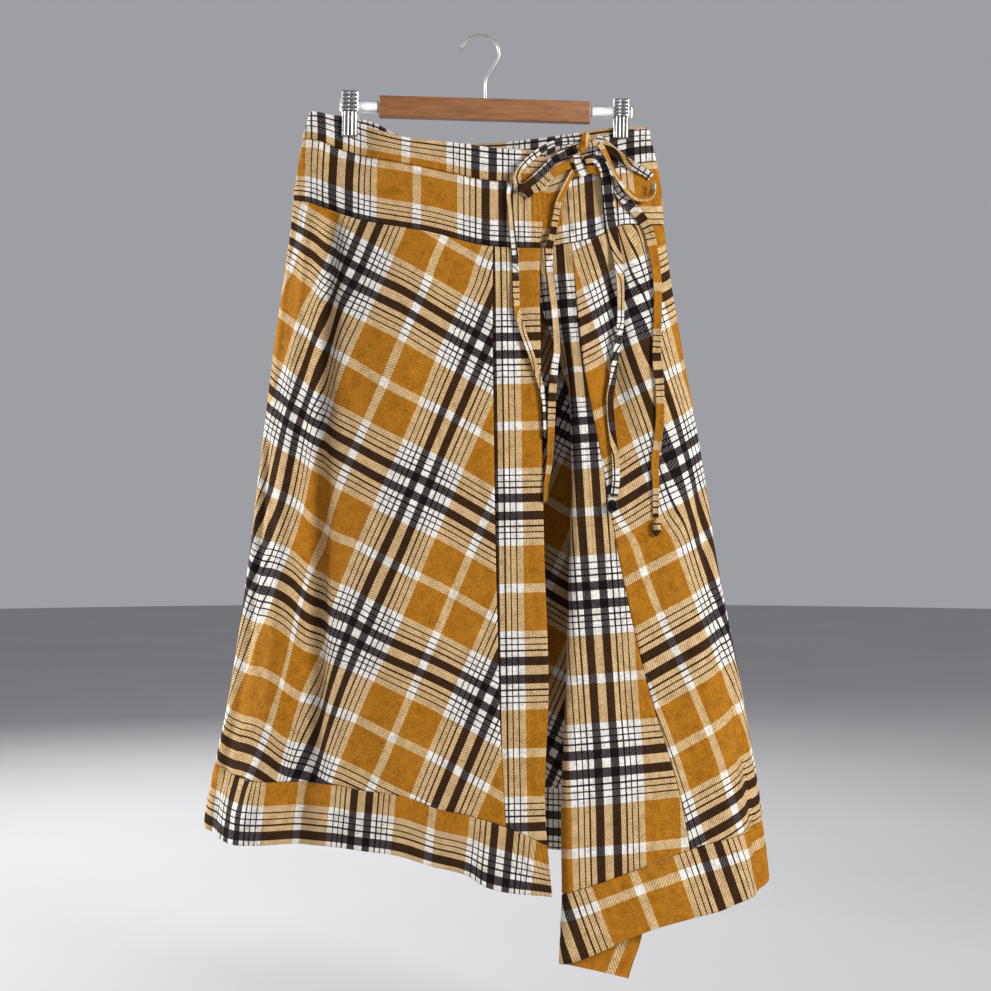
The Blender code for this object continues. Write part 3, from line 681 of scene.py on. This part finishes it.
# Each length's widths, where its check starts and lies across it, how far it stands on its edge in degrees,
# and its path as x, height and lift off the skirt
TIES = (
    {"name": "tie_left_loop_upper", "width": (7, 7.5, 8, 8, 7.5, 7),
     "along": -0.2, "across": (0.12, 0.12, 0.11, 0.13), "tilt": (35, 45, 40, 40, 30), "points": (
        (110.9, -117.1, 8), (101.1, -117.6, 8), (88, -119.3, 7.5), (78.2, -122.6, 7), (68.3, -128.1, 6.5),
        (59.6, -134.8, 6.5), (50.9, -142.5, 6.5), (43.2, -151.4, 6.5), (39.9, -160.2, 6),
        (41, -166.8, 5))},
    {"name": "tie_left_loop_middle", "width": (8, 9, 9.5, 9, 8.5),
     "along": -0.1, "across": (0.055, 0.06, 0.06, 0.055), "tilt": (20, 30, 30, 30), "points": (
        (106.5, -125.9, 4), (95.6, -130.3, 3.6), (83.6, -137, 3.4), (74.8, -145.8, 3.2),
        (66.1, -154.7, 3.4), (57.4, -162.4, 3.4), (48.6, -169, 3.2), (42.1, -170.1, 3.4))},
    {"name": "tie_left_loop_lower", "width": (9, 10, 10, 9),
     "along": 0.02, "across": (0.3, 0.3, 0.3), "tilt": (10, 10, 10), "points": (
        (49.7, -179, 0.6), (55.2, -173.4, 0.6), (65, -167.9, 0.6), (74.8, -158, 0.6), (84.6, -150.3, 0.6),
        (94.5, -144.7, 0.6), (99.9, -142.5, 1.2))},
    # The outer loop's check is set at the edge of the white stripe, so that its rim comes out paler: a
    # painted highlight standing in for the light on the rim
    {"name": "tie_right_loop_outer", "width": (7, 7.5, 8.5, 9, 9, 9),
     "along": 0.13, "across": (0.44, 0.462, 0.468, 0.468), "tilt": (10, 30, 50, 56, 56, 52, 52), "points": (
        (118.5, -121.5, 8), (126.2, -119.8, 8), (132.7, -123.7, 8), (138.1, -132.6, 7),
        (143.5, -144.7, 6), (150, -158, 5), (157.6, -167.9, 4), (166.2, -176.8, 3.5), (174.9, -181.2, 3),
        (183.7, -180.1, 3), (189.1, -172.3, 3), (189.2, -163.5, 3))},
    {"name": "tie_right_loop_inner", "width": (8, 9, 10, 10, 10),
     "along": 0.1, "across": (0.13, 0.12, 0.06, 0.12), "tilt": (10, 20, 20, 10), "points": (
        (188.2, -155.8, 0.6), (182.7, -151.4, 0.6), (176.2, -148, 0.6), (166.4, -142.5, 0.6),
        (155.6, -134.8, 1.2), (145.8, -127, 2), (136, -119.3, 4), (127.3, -113.7, 5))},
    {"name": "tie_tail_a", "width": (6.5, 6.5, 7, 7, 7, 6.5, 6, 6),
     "along": -0.56, "across": (0.135, 0.135, 0.135, 0.3, 0.2, 0.19, 0.13, 0.13),
     "tilt": (20, 10, 0, 20, 25, 20, 10), "points": (
        (36.7, -161.3, 0.6), (33.9, -166.8, 0.5), (32.1, -176.8, 0.5), (33.9, -195.5, 0.5),
        (35.5, -215.3, 0.5), (38.1, -237.3, 0.4), (39.3, -253.7, 0.4), (39.8, -281.1, 0.4),
        (40.9, -303, 0.4), (46.3, -324.8, 0.4), (56, -352, 0.4), (64.6, -379.2, 0.4), (70, -400.9, 0.4),
        (71.5, -422.6, 0.5), (72, -442, 0.6))},
    {"name": "tie_tail_b", "width": (5.5, 6.5, 7.5, 8, 7.5, 7, 8.5, 8.5, 7.5, 6, 4),
     "along": -0.46, "across": (0.468, 0.46, 0.40, 0.22, 0.22, 0.22, 0.22, 0.31, 0.33, 0.35, 0.37),
     "tilt": (20, 10, 0, 0, 10, 10, 0, 0, 0, 0), "points": (
        (103.2, -149.2, 1.6), (98.8, -156.9, 1.6), (93.3, -167.9, 1.4), (86.7, -183.4, 1),
        (82.9, -202.1, 0.6), (79.5, -220.8, 0.5), (75.7, -237.3, 0.5), (75.7, -250.4, 0.5),
        (77.8, -270.2, 0.6), (81, -297.5, 1), (83.1, -324.8, 1.6), (84.1, -346.6, 2.4),
        (80.8, -368.3, 2.8), (78.6, -395.5, 3), (77.5, -422.6, 3), (76.9, -444.2, 2.6), (75.2, -471.2, 2),
        (71.9, -492.7, 1), (70.8, -511, 0.6))},
    {"name": "tie_tail_c", "width": (9, 11, 11.5, 10, 8, 7.5, 8, 8, 8, 8),
     "along": -0.29, "across": (0.09, 0.06, 0.055, 0.095, 0.2, 0.2, 0.11, 0.065, 0.065, 0.11, 0.11),
     "tilt": (0, 0, 0, 10, 20, 20, 10, 10, 0), "points": (
        (115.2, -138.1, 3), (122.9, -135.9, 3.4), (129.4, -138.1, 3.6), (134.8, -145.8, 4),
        (138, -159.1, 4), (140.1, -176.8, 3.6), (142.2, -195.5, 2.4), (144.3, -213.1, 1),
        (147.5, -228.5, 0.9), (151.7, -253.7, 1.3), (153.7, -292, 1.2), (152.4, -324.8, 1.1),
        (147.9, -352, 0.7), (144.6, -379.2, 0.9), (141.2, -400.9, 1), (143.2, -433.4, 1),
        (146.3, -460.4, 0.9), (147.2, -485.2, 0.7), (145, -504.5, 0.5))},
    {"name": "tie_tail_d", "width": (9, 10, 11, 10, 9, 9.5, 9.5, 9, 8, 6),
     "along": -0.43, "across": (0.33, 0.14, 0.3, 0.33, 0.33, 0.33, 0.33, 0.33, 0.36, 0.36),
     "tilt": (0, 0, 0, 10, 0, 0, 0, 0), "points": (
        (116.3, -148, 0.6), (125, -148, 0.6), (133.7, -153.6, 0.6), (143.5, -160.2, 0.6),
        (150, -169, 0.6), (156.4, -179, 0.5), (165.1, -188.9, 0.5), (172.7, -196.6, 0.5),
        (180.2, -206.5, 0.5), (185.6, -218.6, 0.5), (188.7, -232.9, 0.5), (192.9, -259.2, 0.5),
        (194.3, -292, 0.5), (193.5, -324.8, 0.5), (192.2, -357.5, 0.5), (195.3, -390.1, 0.5),
        (195.1, -417.2, 0.5), (192.7, -444.2, 0.5), (189.3, -471.2, 0.5), (190.2, -498.1, 0.5),
        (190, -527.1, 0.5))},
    {"name": "tie_knot_end", "width": (9, 9.5, 10),
     "along": 0.1, "across": (0.22, 0.22), "tilt": (0, 0), "points": (
        (106.5, -132.6, 7), (107.6, -140.3, 6.4), (110.8, -148, 5.4), (114.1, -155.8, 5))},
)


# The cloth's front as points, on which straps and knots lie: the stations of its two sides, and its steps
# along them, down to the yoke seam and on to the hem seam
FRONT_SIDES = ((0, 2), (4, 6.4))
FRONT_STEPS = {"along": 80, "above": 21, "below": 80}
# How far around a strap the cloth beneath it is felt for, and how far past the nearest point at least
STRAP_REACH = 11.0
PAST_NEAREST = 4.0


def front_cloth():
    above = np.linspace(0, 2, FRONT_STEPS["above"] + 1)[:-1]
    rows = np.concatenate([above, np.linspace(2, 3, FRONT_STEPS["below"] + 1)])
    points = []
    for start, end in FRONT_SIDES:
        station, row = np.meshgrid(np.linspace(start, end, FRONT_STEPS["along"]), rows)
        points.append(creased(station, row).reshape(-1, 3))
    return np.concatenate(points)


FRONT = front_cloth()


def front_depth(x, z, reach=STRAP_REACH):
    away = np.hypot(FRONT[:, 0] - x, FRONT[:, 2] - z)
    return FRONT[away < max(reach, away.min() + PAST_NEAREST), 1].min()


def smooth_path(points, step):
    points = np.asarray(points, float)
    run = np.concatenate([[0], np.cumsum(np.linalg.norm(np.diff(points, axis=0), axis=1))])
    along = np.linspace(0, run[-1], max(4, int(run[-1] / step)))
    return np.stack([curve(along, run, points[:, k]) for k in range(points.shape[1])], -1)


def spread(values, count):
    return curve(np.linspace(0, len(values) - 1, count), np.arange(len(values)), values)


def strap(tie):
    x, z, lift = smooth_path(tie["points"], STRAP_STEP).T
    y = np.array([front_depth(*place) for place in zip(x, z)])
    even = np.convolve(np.pad(y, EVENED // 2, mode="edge"), np.full(EVENED, 1 / EVENED), "valid")
    y = np.minimum(y, even)
    count = len(x)
    width = spread(tie["width"], count)
    tilt = np.radians(spread(tie["tilt"], count)) + STRAP_SWAY * np.sin(np.arange(count) / SWAY_POINTS)
    path = np.stack([x, y - CLOTH / 2 - TIE_THICK / 2 - lift - width / 2 * np.abs(np.sin(tilt)), z], -1)
    way = np.gradient(path, axis=0)
    side = unit(np.stack([way[:, 2], np.zeros(count), -way[:, 0]], -1)) * np.cos(tilt)[:, None]
    side[:, 1] = -np.sin(tilt)
    across = np.linspace(-0.5, 0.5, STRAP_ACROSS)
    middle = path[:, None] + side[:, None] * (across[None] * width[:, None])[..., None]
    run = np.concatenate([[0], np.cumsum(np.linalg.norm(np.diff(path, axis=0), axis=1))])
    normal = unit(np.cross(np.gradient(middle, axis=1), np.gradient(middle, axis=0)))
    belly = (STRAP_BELLY * np.cos(np.pi * across))[None, :, None]
    middle += normal * belly * np.sign(normal[..., 1:2] + 1e-6)
    thick = np.full((count, STRAP_ACROSS, 1), TIE_THICK)
    thick[:, [1, -2]] = STRAP_SHOULDER
    thick[:, [0, -1]] = STRAP_EDGE
    thick[[0, -1]] = STRAP_EDGE
    p = spread(tie["across"], count)[:, None] + across[None] * width[:, None] / ACROSS_REPEAT
    q = np.broadcast_to((tie["along"] + run / DOWN_REPEAT)[:, None], p.shape)
    made = cloth_mesh(tie["name"] + "_strap", middle, normal, thick, p, q)
    made.data.materials.append(PLAID)
    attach(made, "root")
    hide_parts(tie["name"])
    wide = max(width.max(), LEAST_FLAT) * MM
    min(flat_area(made), wide * run[-1] * MM)
    return made


for tie in TIES:
    strap(tie)


# Knots: the bow's own knot, and one near the end of two hanging lengths. Each is the folded strap wound on
# itself and pulled tight, so the cloth stands in rounded ridges. The table has their centres, lift off the
# cloth, half sizes, lean, and the check at their middle
KNOTS = (
    # The bow knot's check is set at the edge of the white stripe, so that its right side comes out paler: a
    # painted highlight standing in for its sheen
    {"name": "tie_bow_knot", "x": 114.2, "z": -119.3, "lift": 13.0, "half": (4.8, 4.6, 12.0), "lean": 0.55,
     "weave": (0.462, 0.31)},
    {"name": "tie_end_knot_c", "x": 142.8, "z": -515.3, "lift": 4.1, "half": (6.2, 4.4, 7.0), "lean": 0.0,
     "weave": (0.054, 0.055)},
    {"name": "tie_end_knot_d", "x": 191, "z": -537.8, "lift": 4.2, "half": (4.6, 3.8, 9.5), "lean": 0.05,
     "weave": (0.3, 0.1)},
)
# How high the strap's turns and its finer wrinkles stand, in shares of the knot's size
TURN_RIDGE = 0.13
WRINKLE = 0.05
# How the turns wind down and aside over a knot, and how close they lie
WINDING = {"down": 2.6, "aside": 1.2, "close": 2.4}
KNOT_REACH = 14.0


def knot(spec):
    bpy.ops.object.select_all(action="DESELECT")
    bpy.ops.mesh.primitive_uv_sphere_add(segments=64, ring_count=40, radius=1.0)
    made = bpy.context.object
    made.name = spec["name"] + "_cloth"
    y = front_depth(spec["x"], spec["z"], KNOT_REACH) - spec["lift"]
    layer = made.data.uv_layers[0]
    layer.name = "weave"
    for vert in made.data.vertices:
        a, b, c = vert.co
        turn = WINDING["down"] * c + WINDING["aside"] * a
        ridge = 1 + TURN_RIDGE * math.cos(turn * WINDING["close"]) + WRINKLE * math.sin(5 * a + 3 * c)
        x = spec["x"] + (a * ridge + spec["lean"] * c) * spec["half"][0]
        vert.co = Vector((x, y + b * spec["half"][1] * ridge, spec["z"] + c * spec["half"][2])) * MM
    for loop in made.data.loops:
        place = made.data.vertices[loop.vertex_index].co / MM
        layer.data[loop.index].uv = (spec["weave"][0] + (place.x - spec["x"]) / ACROSS_REPEAT,
                                     spec["weave"][1] + (place.z - spec["z"]) / DOWN_REPEAT)
    made.data.shade_smooth()
    made.data.materials.append(PLAID)
    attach(made, "root")
    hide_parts(spec["name"])
    return made


for spec in KNOTS:
    knot(spec)


# Bar: the hanger's body, planed from hardwood with eased edges under a satin lacquer. The rails go into its
# ends and the hook into its top. The whole hanger hangs a little lower at the right
HANGER_LEAN = 1.65
BAR_SIZE = (232.0, 13.0, 23.4)
BAR_EDGE = 0.9
BAR_CENTRE = (5.8, 0, -79.9)
WOOD_TONES = ((0.32, (0.17, 0.058, 0.016, 1)), (0.5, (0.28, 0.108, 0.032, 1)),
              (0.68, (0.37, 0.160, 0.056, 1)))
# An edge that turns by more than this stays sharp
SHARP = math.radians(40)


def wood():
    made = Finish("satin_wood", Roughness=0.42, Coat_Weight=0.25, Coat_Roughness=0.3)
    at = made.node("ShaderNodeMapping", {}, {"Vector": made.place(), "Scale": (6.0, 60.0, 60.0)})
    grain = made.noise(at, 6.0, 5.0, 0.6)
    pores = made.noise(at, 34.0, 3.0, 0.7)
    made.feed("Base Color", made.ramp(grain * 0.7 + pores * 0.3, WOOD_TONES))
    made.bump(grain + pores * 0.5, 0.25, 0.0004)
    return made.material


def finished(made, name, node, material, lean=0.0, centre=(0, 0, 0)):
    made.name = name
    leaned = Matrix.Rotation(math.radians(lean), 4, "Y")
    made.data.transform(Matrix.Translation(Vector(centre) * MM) @ leaned)
    made.data.materials.append(material)
    bpy.ops.object.shade_smooth_by_angle(angle=SHARP)
    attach(made, "root")
    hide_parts(node)
    return made


def solid_block(size, bevel, segments):
    bpy.ops.object.select_all(action="DESELECT")
    bpy.ops.mesh.primitive_cube_add(size=1.0)
    made = bpy.context.object
    bpy.ops.object.mode_set(mode="EDIT")
    bpy.ops.mesh.select_all(action="SELECT")
    bpy.ops.transform.resize(value=[side * MM for side in size])
    bpy.ops.mesh.bevel(offset=bevel * MM, segments=segments, profile=0.5, affect="EDGES")
    bpy.ops.object.mode_set(mode="OBJECT")
    return made


finished(solid_block(BAR_SIZE, BAR_EDGE, 3), "bar_wood", "bar", wood(), HANGER_LEAN, BAR_CENTRE)


# Rails: two flat strips of drawn and plated steel with round edges, let into the ends of the bar. A clip can
# slide along each of them
RAIL_EDGE = 1.9
RAILS = (
    {"node": "rail_left", "size": (42.6, 4.2, 14.0), "centre": (-132.0, 0, -76.2)},
    {"node": "rail_right", "size": (46.0, 4.2, 14.0), "centre": (145.6, 0, -82.6)},
)
# Plated steel where it has dulled and where it is clean, and the painted shade that darkens its grooves and
# corners
DULL_STEEL = (0.62, 0.62, 0.60)
CLEAN_STEEL = (0.86, 0.86, 0.83)
GROOVE_SHADE = (0.06, 0.06, 0.05, 1)


def plated(name, rough, scale, painted_brightness=1.0):
    made = Finish(name, Metallic=1.0)
    at = made.node("ShaderNodeMapping", {}, {"Vector": made.place(), "Scale": scale})
    streak = made.noise(at, 30.0, 4.0, 0.6)
    dull = made.noise(made.place(), 60.0, 3.0)
    # The plating's colour is scaled by this factor: the same steel is painted paler on the rails and darker
    # on the jaws and wire, lit and shaded copies of one material
    dark, pale = ((*(shade * painted_brightness for shade in steel), 1) for steel in (DULL_STEEL, CLEAN_STEEL))
    bright = made.ramp(dull, ((0.35, dark), (0.65, pale)))
    # Painted shade: where the surface turns inwards, in the grooves between ribs and scales and in corners,
    # the colour is darkened nearly to black
    edge = made.node("ShaderNodeNewGeometry", {}, {}, "Pointiness")
    groove_shade = made.ramp(edge, ((0.46, GROOVE_SHADE), (0.50, (1, 1, 1, 1))))
    made.feed("Base Color", made.mix(1.0, bright, groove_shade, "MULTIPLY"))
    # The two noises' mean is taken off again, so that the mean roughness is the one asked for
    made.feed("Roughness", streak * 0.18 + dull * 0.1 + (rough - 0.14))
    made.bump(streak, 0.06, 0.0002)
    return made.material


PRESSED = plated("pressed_steel", 0.20, (4, 40, 40), 1.12)
for rail in RAILS:
    strip = solid_block(rail["size"], RAIL_EDGE, 5)
    finished(strip, rail["node"] + "_strip", rail["node"], PRESSED, HANGER_LEAN,
             rail["centre"])


# Clips: two jaws each, pressed from plated sheet steel with four long ribs below and two rows of scales
# above. A spring closes them on the waistband, one in front and one behind
# A jaw's sheet, the rounding of its edges, how far out of the hanging plane it stands, and how finely its
# parts are joined, in mm
JAW_SHEET = 1.6
JAW_EDGE = 0.6
JAW_OUT = 3.6
JAW_FINENESS = 0.36
# In shares of the jaw's width and height, but for how far out they stand and how thick they are, in mm
RIBS = {"count": 4, "apart": 0.235, "radius": 0.112, "length": 0.52, "below": 0.225, "out": 0.9}
SCALES = {"rows": 5, "first": 0.085, "pitch": 0.088, "apart": 0.45, "half": (0.21, 1.3, 0.04), "out": 0.8}
JAW_STEEL = plated("ribbed_steel", 0.34, (40, 40, 8), 0.62)


def jaw(clip, face):
    height = clip["top"] - clip["foot"]
    width = clip["width"]
    bpy.ops.object.select_all(action="DESELECT")
    bpy.ops.mesh.primitive_cube_add(size=1.0)
    made = bpy.context.object
    bpy.ops.object.mode_set(mode="EDIT")
    bpy.ops.transform.resize(value=(width * MM, JAW_SHEET * MM, height * MM))
    bpy.ops.mesh.bevel(offset=JAW_EDGE * MM, segments=2, profile=0.5, affect="EDGES")
    for column in range(RIBS["count"]):
        x = (column - (RIBS["count"] - 1) / 2) * width * RIBS["apart"]
        z = -height * RIBS["below"]
        bpy.ops.mesh.primitive_cylinder_add(vertices=24, radius=width * RIBS["radius"] * MM,
                                            depth=height * RIBS["length"] * MM,
                                            location=(x * MM, -RIBS["out"] * MM, z * MM))
    wide, thick, high = SCALES["half"]
    for column in (-0.5, 0.5):
        for row in range(SCALES["rows"]):
            x = column * width * SCALES["apart"]
            z = height * (SCALES["first"] + SCALES["pitch"] * row)
            bpy.ops.mesh.primitive_uv_sphere_add(segments=24, ring_count=14, radius=1.0 * MM,
                                                 location=(x * MM, -SCALES["out"] * MM, z * MM),
                                                 scale=(width * wide, thick, height * high))
    bpy.ops.object.mode_set(mode="OBJECT")
    union = made.modifiers.new("union", "REMESH")
    union.mode = "VOXEL"
    union.voxel_size = JAW_FINENESS * MM
    bpy.ops.object.modifier_apply(modifier=union.name)
    if face > 0:
        made.data.transform(Matrix.Rotation(math.pi, 4, "Z"))
    made.data.shade_smooth()
    place = (clip["x"], face * JAW_OUT, (clip["top"] + clip["foot"]) / 2)
    name = "clip_" + clip["name"] + ("_back" if face > 0 else "_front")
    return finished(made, name + "_jaw", name, JAW_STEEL, clip["lean"], place)


for clip in CLIPS:
    jaw(clip, -1)
    jaw(clip, 1)


# Hook: one bent length of bright plated wire, screwed into the top of the bar, its open end rounded off. It
# swivels there on a real hanger. Its bends are given as x and height, from the bar to the open end
WIRE_RADIUS = 1.75
WIRE_STEP = 1.2
BENDS = ((6.8, -67.6), (6.7, -60), (6.6, -52), (7.3, -46.5), (9.3, -42.4), (13.0, -36.6), (17.2, -30),
         (20.5, -23.6), (21.8, -17.8), (21.1, -12.4), (18.7, -7.2), (14.9, -2.8), (10.2, 0.4), (5.2, 1.8),
         (0, 2.0), (-6.2, 0.8), (-11.6, -2.0), (-16.2, -6.8), (-19.3, -11.0), (-22.8, -14.1))


def bent_wire(bends):
    route = smooth_path([(x, 0, z) for x, z in bends], WIRE_STEP)
    line = bpy.data.curves.new("bent_wire", "CURVE")
    line.dimensions = "3D"
    line.bevel_depth = WIRE_RADIUS * MM
    line.bevel_resolution = 5
    line.use_fill_caps = True
    spline = line.splines.new("POLY")
    spline.points.add(len(route) - 1)
    for point, place in zip(spline.points, route):
        point.co = (*(place * MM), 1)
    # The open end is rounded off
    spline.points[-2].radius = 0.88
    spline.points[-1].radius = 0.5
    made = bpy.data.objects.new("bent_wire", line)
    bpy.context.collection.objects.link(made)
    bpy.ops.object.select_all(action="DESELECT")
    made.select_set(True)
    bpy.context.view_layer.objects.active = made
    bpy.ops.object.convert(target="MESH")
    bpy.ops.object.mode_set(mode="EDIT")
    bpy.ops.mesh.select_all(action="SELECT")
    bpy.ops.mesh.remove_doubles(threshold=0.01 * MM)
    bpy.ops.mesh.normals_make_consistent(inside=False)
    bpy.ops.object.mode_set(mode="OBJECT")
    return bpy.context.object


WIRE_STEEL = plated("plated_wire", 0.40, (10, 10, 60), 0.70)
finished(bent_wire(BENDS), "hook_bent", "hook", WIRE_STEEL)
